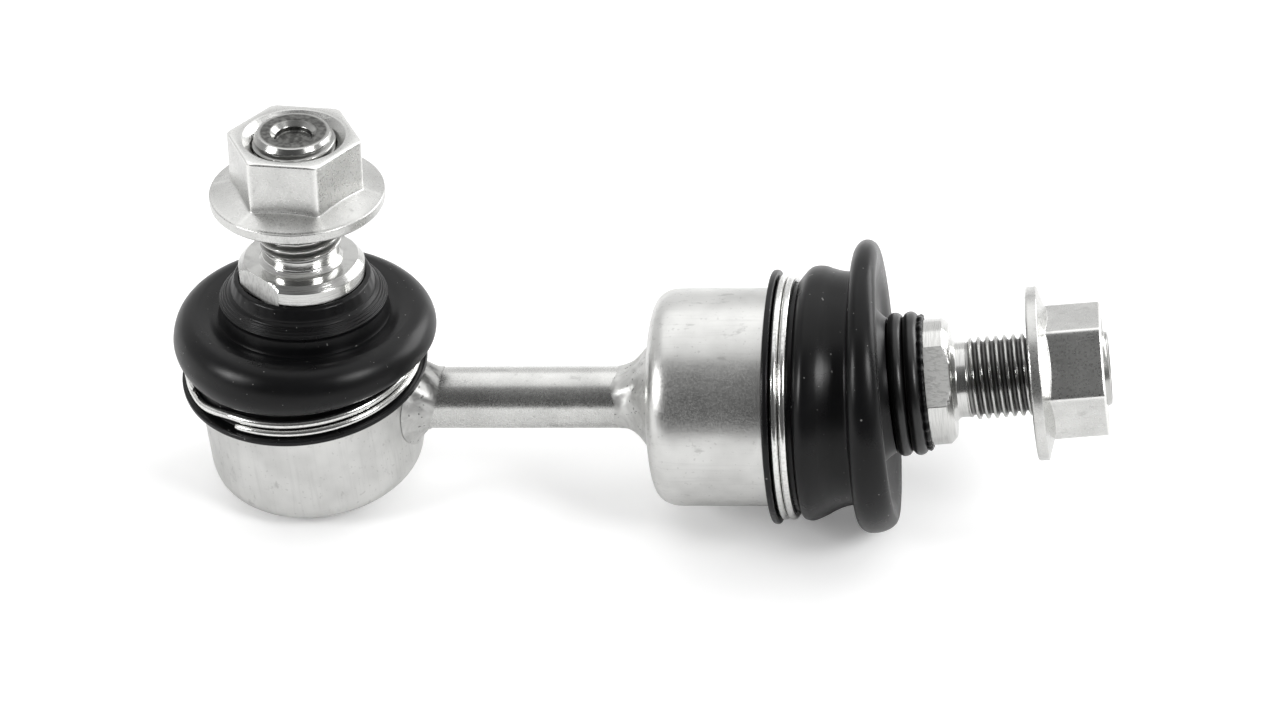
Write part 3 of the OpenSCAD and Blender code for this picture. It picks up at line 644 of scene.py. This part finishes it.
class LINK_OT_boots(bpy.types.Operator):
    """Builds the two rubber boots, each in two halves"""
    bl_idname = "link.boots"
    bl_label = "Rubber boots"

    def left(self, b, clip, z1, top):
        """Left boot's outer line below and above its seam, the inner line of each, and the height where
        its base turns stiff. An elliptic arc under the fold, one over it and a dish end in a crease,
        which is the seam. Above it stand an upright wall, a shoulder whose upper face has fine ribs,
        and a lip that holds the collar's lower edge and covers the neck ring."""
        under = size(b, "under_r") - size(b, "left_trim")
        fold, shoulder = size(b, "left_fold_r"), size(b, "shoulder_r")
        h, hug = z1 - clip, size(b, "lip_r")
        mid, crest, foot, back = clip + 0.23 * h, 0.51 * h, under + 0.35, fold - 3.5
        dish = curve([(back, mid + crest), (shoulder + 2.2, mid + 0.95 * crest),
                      (shoulder + 1.1, mid + 0.86 * crest), (shoulder + 0.3, mid + 0.82 * crest)], 8)
        low = np.concatenate([
            [(under, clip)],
            arc((foot, mid), (fold - foot, 0.22 * h), np.linspace(-88, 0, 14)),
            arc((back, mid), (fold - back, crest), np.linspace(4, 86, 22)),
            dish])
        u = np.linspace(0, 1, 60)
        face = np.array([shoulder, z1 + 0.1]) + u[:, None] * [-1.6, 1.65]
        ribs = 0.14 * np.sin(math.pi * u) + 0.05 * np.sin(2 * math.pi * 5 * u) * (u < 0.8)
        face += ribs[:, None] * unit([1.65, 1.6])
        lip = fillets([tuple(face[-1]), (hug + 1.25, z1 + 1.8), (hug + 1.2, z1 + 2.1),
                       (hug + 0.7, top + 0.9), (hug, top + 1.15), (hug, top)], [0.05, 0.1, 0.4, 0.1], 5)
        wall = [(shoulder - 0.2, z1 - 0.15), (shoulder - 0.06, z1)]
        high = np.concatenate([dish[-1:], wall, face, lip[1:]])
        seam = (shoulder + 0.7, z1 - 0.41 * h)
        inner_high = [(shoulder - 1.6, z1 - 0.08 * h), (shoulder - 1.2, z1 - 0.3 * h),
                      (shoulder - 0.7, z1 - 0.4 * h), seam]
        inner_low = [seam, (back - 0.2, z1 - 0.44 * h), (fold - 2.1, z1 - 0.56 * h), (fold - 1.8, mid),
                     (under - 0.35, clip + 0.05 * h)]
        return low, high, inner_high, inner_low, float(dish[-1, 1])

    def right(self, b, clip, z1, top):
        """Right boot's lines in the same order: a low bulge, a valley, the thick round fold, which is
        stiff, and the outer part of its dished face. From the dish's floor, which is the seam, the cone
        climbs to the neck and the lip."""
        under, bulge, valley = size(b, "under_r"), size(b, "bulge_r"), size(b, "valley_r")
        half = size(b, "fold_t") / 2
        rim, neck, hug = size(b, "right_fold_r") - half, size(b, "neck_r"), size(b, "lip_r")
        h = z1 - clip
        mid, face = clip + 0.755 * h, half + 0.6
        back, steps = mid - half - 0.1, 8
        dish = curve([(rim, mid + face), (rim - 1.8, mid + face - 0.4), (rim - 4, clip + 0.84 * h),
                      (neck + 4.9, clip + 0.8 * h), (neck + 3.7, clip + 0.82 * h),
                      (neck + 2.9, clip + 0.87 * h), (neck + 2.1, clip + 0.94 * h),
                      (neck + 1.6, z1)], steps)
        floor = 3 * steps
        low = np.concatenate([
            curve([(under, clip - 0.6), (valley + 0.2, clip - 0.45), (bulge - 0.55, clip + 0.015 * h),
                   (bulge - 0.05, clip + 0.1 * h), (bulge - 0.32, clip + 0.23 * h),
                   (bulge - 0.9, clip + 0.34 * h), (valley + 0.15, clip + 0.45 * h),
                   (valley, clip + 0.55 * h), (valley + 0.3, back)], steps),
            curve([(valley + 0.3, back), (rim - 1.3, mid - half - 0.02), (rim, mid - half)], 6)[1:-1],
            arc((rim, mid), (half, half), np.linspace(-90, 0, 14))[:-1],
            arc((rim, mid), (half, face), np.linspace(0, 90, 14)),
            dish[1:floor + 1]])
        lip = fillets([(neck + 1.6, z1), (neck, z1 + 0.05), (neck, top - 0.5), (hug + 0.3, top - 0.45),
                       (hug + 0.6, top + 0.1), (hug + 0.3, top + 0.45), (hug, top + 0.4), (hug, top)],
                      [0.15, 0.1, 0.15, 0.2, 0.1, 0.1], 4)
        high = np.concatenate([dish[floor:], lip[1:]])
        seam = (neck + 4.9, clip + 0.72 * h)
        inner_high = [(neck + 1.3, clip + 0.93 * h), (neck + 2.2, clip + 0.85 * h),
                      (neck + 3, clip + 0.78 * h), seam]
        inner_low = [seam, (rim - 0.4, mid), (valley - 1.6, mid - half - 0.3),
                     (valley - 1.7, clip + 0.4 * h), (bulge - 2, clip + 0.15 * h),
                     (under - 0.9, clip + 0.02 * h)]
        return low, high, inner_high, inner_low, back

    def execute(self, context):
        scene, looks = context.scene, context.scene.link_looks
        m, s, b = scene.link_metal, scene.link_stud, scene.link_rubber
        skin = rubber("moulded_black_rubber", tuple(looks.rubber), tuple(looks.dust))
        ang = around(256)
        # Room at the cup and the stud, the base flange's thickness, the length of wall that the neck
        # holds, and the spacing of points outside and inside.
        room, lid_t, hold, fine, coarse = 0.1, 0.9, 1.1, 0.45, 2.0
        groove, seat = size(m, "groove_r") + room, size(s, "seat_r") + room
        for side in SIDES:
            g, clip, z1, top = boot_ends(side)
            low, high, in_high, in_low, stiff = getattr(self, side)(b, clip, z1, top)
            wide, lid = size(b, "flange_r") - size(b, f"{side}_trim"), g + lid_t
            base = fillets([(groove, g), (wide, g), (wide, lid), (low[0, 0], lid), tuple(low[0])],
                           [0.35, 0.3, 0.2], 6)
            bore = np.array([(seat, top), (seat, z1 - 0.3)])
            cuff = [(groove + 0.8, g + 3.8), (groove, g + 3.5)]
            halves = {"base": (np.concatenate([base[:-1], low]), np.concatenate([in_low, cuff])),
                      "fold": (np.concatenate([high, bore]), np.array(in_high))}
            o, axes = cup_frame(side)
            lines = {half: np.concatenate([spaced(outer, fine), spaced(inner, coarse)])
                     for half, (outer, inner) in halves.items()}
            grids = {half: self.swept(side, line, ang, clip, z1, top) for half, line in lines.items()}
            for half, grid in grids.items():
                obj = surface(f"boot_{side}_{half}", grid, (o, axes), wrap_v=True, sharp=55)
                obj.data.materials.append(skin)
                if half == "base":
                    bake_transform(obj)
                    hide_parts(f"{side}_boot")
                else:
                    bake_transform(obj)
        return {"FINISHED"}

    def swept(self, side, line, ang, clip, z1, top):
        """Grid of a boot: the line's rings, each with its middle leaned about the ball by the share s =
        1 - (1 - t)^8 and its plane tilted by w, which is s on the left and t^3.5 on the right, where t
        runs from the clip ring to the neck. Low waves of three and five around stand for the way that
        rubber settles, and the lip is torn: its edge steps in and out by sines of uneven count."""
        r, z = line[:, :1] + 0 * ang, line[:, 1:2]
        # The waves grow from the radius calm over the width wide, and over the height tall.
        calm, wide, tall = 13.5, 5.0, 3.0
        loose = np.clip((r - calm) / wide, 0, 1) * np.clip((z - clip) / tall, 0, 1)
        r = r * (1 + loose * (0.0022 * np.sin(3 * ang + 0.7) + 0.0012 * np.sin(5 * ang + 2.0)))
        edge = (line[:, :1] > size(bpy.context.scene.link_rubber, "lip_r") + 0.2) & (z > top - 0.5)
        frayed = np.sin(23 * ang + 2 * np.sin(5 * ang)) + 0.7 * np.sin(41 * ang + 1)
        r = r + SIDES[side]["tears"] * edge * frayed
        t = np.clip((line[:, 1] - clip) / (z1 - clip), 0, 1)
        share = 1 - (1 - t) ** 8
        tilt = share if side == "left" else t ** 3.5
        la, lb = lean(side)
        pair = (np.cos, np.sin)
        ca, sa, cb, sb = (f(share * v)[:, None] for v in (la, lb) for f in pair)
        da, ea, db, eb = (f(tilt * v)[:, None] for v in (la, lb) for f in pair)
        x, y = r * np.cos(ang), r * np.sin(ang)
        # Ry(s a) Rx(s b) (0, 0, z) + Ry(w a) Rx(w b) (x, y, 0)
        return np.stack([z * cb * sa + x * da + y * eb * ea, y * db - z * sb,
                         z * cb * ca + y * eb * da - x * ea], 2)


class LINK_OT_rings(bpy.types.Operator):
    """Builds the silver clip rings and the black neck rings"""
    bl_idname = "link.rings"
    bl_label = "Wire rings"

    def execute(self, context):
        b, looks = context.scene.link_rubber, context.scene.link_looks
        wire, fat = size(b, "wire_r"), size(b, "neck_wire_r")
        bright = drawn_wire("drawn_spring_wire", tuple(looks.wire), 1.0, 0.14)
        black = drawn_wire("blackened_spring_wire", tuple(looks.black_wire), 0.0, 0.3)
        # The clip's turns, its rise above the boot's base, the room under the neck ring, the angle over
        # which a coil climbs to its next turn, and how far two coils press together.
        turns, rise, room, climb, press = 1.91, 1.0, 0.1, 0.5, 0.03
        for side, own in SIDES.items():
            base = boot_ends(side)[0]
            r = size(b, "clip_r") - size(b, f"{side}_trim")
            path = coil(r, base + rise + wire, own["clip_pitch"], own["clip_start"], turns, climb)
            grid = tube(path, wire, 20)
            obj = surface(f"clip_ring_{side}", grid, cup_frame(side), poles=(True, True), sharp=50)
            finish(obj, "link", "clip_wire", bright, f"{side}_clip_ring")
        for side, own in SIDES.items():
            neck = boot_ends(side)[2]
            r, pitch = size(b, "neck_r") + FIT + fat, (own["ring_coils"] - 1) * (2 * fat - press)
            path = coil(r, neck + room + fat, pitch, own["ring_start"], own["ring_turns"], climb)
            grid = tube(path, fat, 28)
            obj = surface(f"neck_ring_{side}", grid, stud_frame(side), poles=(True, True), sharp=50)
            finish(obj, f"{side}_neck", "neck_wire", black, f"{side}_neck_ring")
        return {"FINISHED"}


class LINK_OT_studs(bpy.types.Operator):
    """Builds the two ball studs: ball, neck and collar, then the thread with its end"""
    bl_idname = "link.studs"
    bl_label = "Ball studs"

    def execute(self, context):
        s, looks = context.scene.link_stud, context.scene.link_looks
        body = turned_steel("turned_stud_steel", tuple(looks.steel))
        thread = rolled_thread("rolled_thread_steel", tuple(looks.thread), tuple(looks.forged))
        for side, own in SIDES.items():
            place = stud_frame(side)
            grid, milled = self.shaft(s, side, math.radians(own["flats_turn"]))
            obj = surface(f"stud_{side}", grid, place, poles=(True, True), sharp=30, milled=milled)
            finish(obj, f"{side}_stud", "stud_steel", body, f"{side}_stud")
            grid, root, sheared = self.shank(s, side)
            obj = surface(f"thread_{side}", grid, place, poles=(True, True), sharp=40, root=root,
                          sheared=sheared)
            finish(obj, f"{side}_stud", "stud_steel", thread)
        return {"FINISHED"}

    def shaft(self, s, side, turn):
        """Ball, neck, boot seat, collar and undercut as one turned line. Two wrench flats: within the
        collar's height the radius is cut to half the width over |cos(a - turn)|, and those points are
        marked as milled."""
        neck, ball = size(s, f"{side}_neck"), size(s, "ball_r")
        sh = neck + size(s, "collar_t")
        thin, seat_r, collar, under = (size(s, k) for k in ("neck_r", "seat_r", "collar_r", "undercut_r"))
        seat, bevel, cone = boot_ends(side)[2] - 0.3, size(s, "collar_bevel"), 0.7
        end = sh + size(s, "undercut") - 0.1
        w = np.linspace(-math.pi / 2 + 0.02, math.acos(thin / ball), 40)
        sphere = np.stack([ball * np.cos(w), ball * np.sin(w)], 1)
        line = fillets([sphere[-1], (thin, seat - 2), (seat_r, seat), (seat_r, neck), (collar, neck),
                        (collar, sh - bevel), (collar - bevel, sh), (under + cone, sh),
                        (under, sh + cone), (under, end), (0.6, end)],
                       [0.8, 0.4, 0.1, 0.3, 0.1, 0.1, 0.4, 0.5, 0.05], 7)
        line = spaced(np.concatenate([sphere[:-1], line]), 0.5)
        half = size(s, "collar_af") / 2
        reach = math.acos(half / collar)
        edges = np.array([-1.02, -1, -0.98, 0.98, 1, 1.02]) * reach
        marks = turn + np.array([0, math.pi])[:, None] + edges
        a = around(200, marks.ravel())
        flat = half / np.maximum(np.abs(np.cos(a - turn)), 1e-3)
        r, z = line[:, :1], line[:, 1:2]
        on = (z > neck - 0.05) & (z < sh + 0.05)
        milled = on & (r > flat + 0.02) & (z > neck + 0.1) & (z < sh - 0.1)
        return rounded(np.where(on, np.minimum(r, flat), r + 0 * flat), a, z), milled

    def shank(self, s, side):
        """Thread: r = root + depth * clip of a triangle wave of (z / pitch - a / 2 pi), which climbs
        one pitch in each turn and fades out at the undercut. The end is bevelled, and the face and the
        recess in it are sheared and mottled."""
        pitch, major, depth = size(s, "pitch"), size(s, "thread_r"), 0.74
        # Depth and length of the end's bevel, length of the run-out, and the wave's shares in the root
        # and in a flank.
        cut, chamfer, fade, floor, flank = 0.85, 1.5, 1.3, 0.18, 0.66
        sh = size(s, f"{side}_neck") + size(s, "collar_t")
        z0, z1 = sh + size(s, "undercut") - 0.5, sh + size(s, f"{side}_shank")
        a = around(168)
        z = np.linspace(z0, z1 - 0.05, 270)[:, None]
        wave = np.abs(2 * np.mod(z / pitch - a / (2 * math.pi), 1) - 1)
        crest = np.clip((wave - floor) / flank, 0, 1)
        crest = crest * crest * (3 - 2 * crest)
        grown = np.clip((z - z0) / fade, 0, 1)
        bevel = np.clip((z - (z1 - chamfer)) / chamfer, 0, 1)
        ridge = major - depth + depth * grown * crest + 0.1 * (1 - grown)
        r = np.minimum(ridge, major - cut * bevel ** 1.2)
        # Where the painted shade goes: the share of each point that lies in a root.
        root = np.broadcast_to((1 - crest) * grown, r.shape) * (1 - bevel)
        hole, deep = size(s, "recess_r"), z1 - size(s, "recess")
        end = fillets([(major - cut, z1 - 0.05), (major - cut - 0.2, z1), (hole + 0.8, z1),
                       (hole, z1 - 0.8), (hole, deep), (0.4, deep - 0.25)], [0.1, 0.1, 0.2, 0.3], 5)
        end = spaced(end, 0.35)
        far = end[:, :1]
        rim = (far < major - 1.15) & ((far > hole + 0.75) | (far < hole + 0.02))
        sheared = np.concatenate([0 * root, rim + 0 * a])
        root = np.concatenate([root, np.zeros((len(end), len(a)))])
        return np.concatenate([rounded(r, a, z), revolve(end, a)]), root, sheared


class LINK_OT_nuts(bpy.types.Operator):
    """Builds the two flange nuts"""
    bl_idname = "link.nuts"
    bl_label = "Flange nuts"

    def execute(self, context):
        s, looks = context.scene.link_stud, context.scene.link_looks
        plate = zinc_plate("cold_formed_nut_zinc_plated", tuple(looks.nut), 0.3, 0.8, (1, 1, 0.3))
        for side, own in SIDES.items():
            grid, worn = self.shape(s, math.radians(own["nut_turn"]))
            grid[:, :, 2] += size(s, f"{side}_neck") + size(s, "collar_t") + size(s, f"{side}_gap")
            obj = surface(f"nut_{side}", grid, stud_frame(side), wrap_v=True, sharp=30, worn=worn)
            finish(obj, f"{side}_nut", "nut_zinc", plate, f"{side}_nut")
        return {"FINISHED"}

    def shape(self, s, turn):
        """Nut: rounded flange rim, then the larger of the flange's shallow cone and the hexagon, joined
        by a small smooth step, the hexagon's top edge rounded, then the flat top, the countersink and
        the bore. The hexagon's radius is half its width over the 50-norm of the six cosines, so its
        sides are flat and its corners crisp. The corners and the top edge are marked for rubbed wear
        and a painted highlight."""
        h, rim, thick, flats = (size(s, k) for k in ("nut_h", "nut_flange_r", "nut_flange_t", "nut_af"))
        bore, norm, edge = size(s, "thread_r") + 0.14, 50, 0.35
        # Slope of the flange's cone, softness of its step to the hexagon, and spread of a worn corner.
        slope, soft, spread = 3, 0.03, 0.0012
        sixths = 60 * np.arange(6)[:, None]
        near = np.array([-5, -3.4, -2.2, -1.3, -0.6, 0, 0.6, 1.3, 2.2, 3.4, 5])
        a = around(240, turn + np.radians(sixths + near).ravel())
        faces = np.maximum(np.cos(a - turn - np.radians(30 + sixths)), 0)
        six = flats / 2 / (faces ** norm).sum(0) ** (1 / norm)
        cone = thick + np.arange(0.05, 1.75, 0.04)
        side = np.linspace(cone[-1] + 0.2, h - edge, 16)
        crown = h - edge + edge * np.sin(np.linspace(0.2, 1.57, 8))
        z = np.concatenate([cone, side, crown])[:, None]
        up = np.clip((z - h + edge) / edge, 0, 1)
        round_off = edge * (1 - np.sqrt(np.maximum(1 - up ** 2, 0)))
        bevel = flats / 2 / math.cos(math.pi / 6) - 0.5 + (h - z) * 2
        side_r = np.minimum(six, bevel) - round_off
        skirt = rim - edge - (z - thick) * slope
        joined = 0.5 * (side_r + skirt + np.sqrt((side_r - skirt) ** 2 + soft))
        r = np.where(z > cone[-1], side_r, joined)
        under = fillets([(bore, 0.6), (bore + 0.6, 0), (rim, 0), (rim, thick - 0.05),
                         (rim - 0.4, thick + 0.03)], [0.1, 0.5, 0.5], 9)
        hole = fillets([(bore + 1.75, h), (bore + 1.3, h), (bore + 0.1, h - 1.2), (bore, h - 2),
                        (bore, 0.6)], [0.25, 0.5, 0.2], 7)
        under, hole = spaced(under, 0.5)[1:], spaced(hole, 0.5)
        off = np.mod(a - turn + math.pi / 6, math.pi / 3) - math.pi / 6
        corner = np.exp(-off ** 2 / spread)
        # Corners and the top edge painted lighter, half as much on the flange: rubbed wear and a painted
        # highlight.
        worn = np.where(z > cone[-1], np.maximum(corner, z > h - edge), 0.5 * corner)
        plain = [np.zeros((len(line), len(a))) for line in (under, hole)]
        worn = np.concatenate([plain[0], worn, plain[1]])
        return np.concatenate([revolve(under, a), rounded(r, a, z), revolve(hole, a)]), worn


class LINK_OT_inside(bpy.types.Operator):
    """Gives the seats and retainers inside the joints their materials"""
    bl_idname = "link.inside"
    bl_label = "Inner pieces"

    def execute(self, context):
        looks = context.scene.link_looks
        seat = inner_piece("moulded_acetal", tuple(looks.resin), 0.0, 4.0)
        steel = inner_piece("stamped_retainer_steel", tuple(looks.steel), 1.0, 2.0)
        for side in SIDES:
            for node, mat in (("lower_seat", seat), ("upper_seat", seat), ("retainer", steel)):
                obj = frame["nodes"][f"{side}_{node}"]
                obj.data.materials.clear()
                obj.data.materials.append(mat)
        return {"FINISHED"}


def aimed(spot, back, roll=0.0):
    """World matrix of a lamp or camera at a spot: its back axis is given, its right axis level before
    roll."""
    right = unit(np.cross([0, 0, 1.0], back))
    up = np.cross(back, right)
    c, s = math.cos(roll), math.sin(roll)
    axes = np.stack([right * c + up * s, up * c - right * s, back], 1)
    return Matrix([[*row, p] for row, p in zip(axes, spot)] + [[0, 0, 0, 1]])


def towards(azimuth, elevation):
    """Unit vector to a place in the studio: azimuth 0 is the front, 90 the right."""
    az, el = math.radians(azimuth), math.radians(elevation)
    return np.array([math.sin(az) * math.cos(el), -math.cos(az) * math.cos(el), math.sin(el)])


class LINK_OT_stage(bpy.types.Operator):
    """Sets the bench, the lamps, the world and the camera"""
    bl_idname = "link.stage"
    bl_label = "Stage"

    def execute(self, context):
        scene, looks = context.scene, context.scene.link_looks
        self.bench(scene, looks)
        self.studio(scene)
        middle = np.array([0.04, 0.0, -0.02])
        for name, watts, wide, high, azimuth, elevation, far in (
                ("top_softbox", 4.6, 1.6, 1.4, 180, 67, 1.1),
                ("left_softbox", 5.5, 0.32, 0.36, -64, 26, 1.1),
                ("right_softbox", 5.0, 0.32, 0.36, 62, 42, 1.1),
                ("side_softbox", 6.0, 0.8, 0.5, 126, 20, 1.0)):
            lamp = bpy.data.lights.new(name, "AREA")
            lamp.energy = watts
            lamp.shape = "RECTANGLE"
            lamp.size, lamp.size_y = wide, high
            obj = bpy.data.objects.new(name, lamp)
            scene.collection.objects.link(obj)
            back = towards(azimuth, elevation)
            obj.matrix_world = aimed(middle + far * back, back)
        cam = bpy.data.cameras.new("camera")
        cam.sensor_width = 36.0
        focal, wide = 4500, 1280  # pixels
        cam.lens = focal / wide * cam.sensor_width
        cam.clip_start, cam.clip_end = 0.05, 20
        obj = bpy.data.objects.new("camera", cam)
        scene.collection.objects.link(obj)
        spot, roll = (0.102264, -0.498676, 0.400698), math.radians(0.0354)
        back = towards(6.0926, 39.7923)
        obj.matrix_world = aimed(spot, back, roll)
        scene.camera = obj
        scene.view_settings.view_transform = "Standard"
        return {"FINISHED"}

    def bench(self, scene, looks):
        """White bench top: painted board that scatters light. The camera also sees a little plain white
        on it, so that it reads as a bright sweep and still keeps the object's shadow."""
        low, far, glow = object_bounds()[0][2], 3, 0.2
        mesh = bpy.data.meshes.new("bench")
        corners = [(-far, -far, low), (far, -far, low), (far, far, low), (-far, far, low)]
        mesh.from_pydata(corners, [], [(0, 1, 2, 3)])
        bench = bpy.data.objects.new("bench", mesh)
        scene.collection.objects.link(bench)
        bench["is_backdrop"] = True
        mat = bpy.data.materials.new("bench_top_white")
        mat.use_nodes = True
        t = mat.node_tree
        sh = t.nodes["Principled BSDF"]
        sh.inputs["Roughness"].default_value = 0.8
        sh.inputs["Base Color"].default_value = tuple(looks.floor)
        seen = add(t, "LightPath", output="Is Camera Ray")
        white = add(t, "Emission", (1, 1, 1, 1), add(t, "Math", seen, glow, operation="MULTIPLY"))
        both = add(t, "AddShader", sh.outputs[0], white)
        t.links.new(both, t.nodes["Material Output"].inputs["Surface"])
        mesh.materials.append(mat)

    def studio(self, scene):
        """The room: dark in front and bright at the back. The camera itself sees white."""
        world = bpy.data.worlds.new("studio")
        scene.world = world
        world.use_nodes = True
        t = world.node_tree
        way = add(t, "TexCoord", output="Generated")
        y = add(t, "SeparateXYZ", way, output="Y")
        room = add(t, "MapRange", y, -0.85, 1.0, 0.1, 0.9, interpolation_type="SMOOTHSTEP")
        seen = add(t, "LightPath", output="Is Camera Ray")
        dress(t, t.nodes["Background"], Color=add(t, "Mix", seen, room, (1, 1, 1, 1), data_type="RGBA"))


class LINK_PT_panel(bpy.types.Panel):
    """Sizes, colours and build buttons"""
    bl_idname = "LINK_PT_panel"
    bl_label = "Stabilizer Link"
    bl_space_type = "VIEW_3D"
    bl_region_type = "UI"
    bl_category = "Link"

    def draw(self, context):
        for key in GROUPS:
            box = self.layout.box()
            group = getattr(context.scene, key)
            for name in group.__annotations__:
                box.prop(group, name)
        for op in OPERATORS:
            self.layout.operator(op.bl_idname)


GROUPS = {"link_metal": LINK_PG_metal, "link_stud": LINK_PG_stud, "link_rubber": LINK_PG_rubber,
          "link_looks": LINK_PG_looks}
OPERATORS = (LINK_OT_rod, LINK_OT_cups, LINK_OT_boots, LINK_OT_rings, LINK_OT_studs, LINK_OT_nuts,
             LINK_OT_inside, LINK_OT_stage)


def register():
    """Registers the classes and hangs the property groups on the scene."""
    for cls in (*GROUPS.values(), *OPERATORS, LINK_PT_panel):
        bpy.utils.register_class(cls)
    for key, cls in GROUPS.items():
        setattr(bpy.types.Scene, key, PointerProperty(type=cls))


def unregister():
    """Takes the property groups and the classes away again."""
    for key in GROUPS:
        delattr(bpy.types.Scene, key)
    for cls in (LINK_PT_panel, *reversed(OPERATORS), *reversed(GROUPS.values())):
        bpy.utils.unregister_class(cls)


def main():
    """Registers the add-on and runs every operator."""
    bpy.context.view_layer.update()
    register()
    for op in OPERATORS:
        group, name = op.bl_idname.split(".")
        if getattr(getattr(bpy.ops, group), name)() != {"FINISHED"}:
            raise RuntimeError(f"{op.bl_idname} did not finish")


if __name__ == "__main__":
    main()
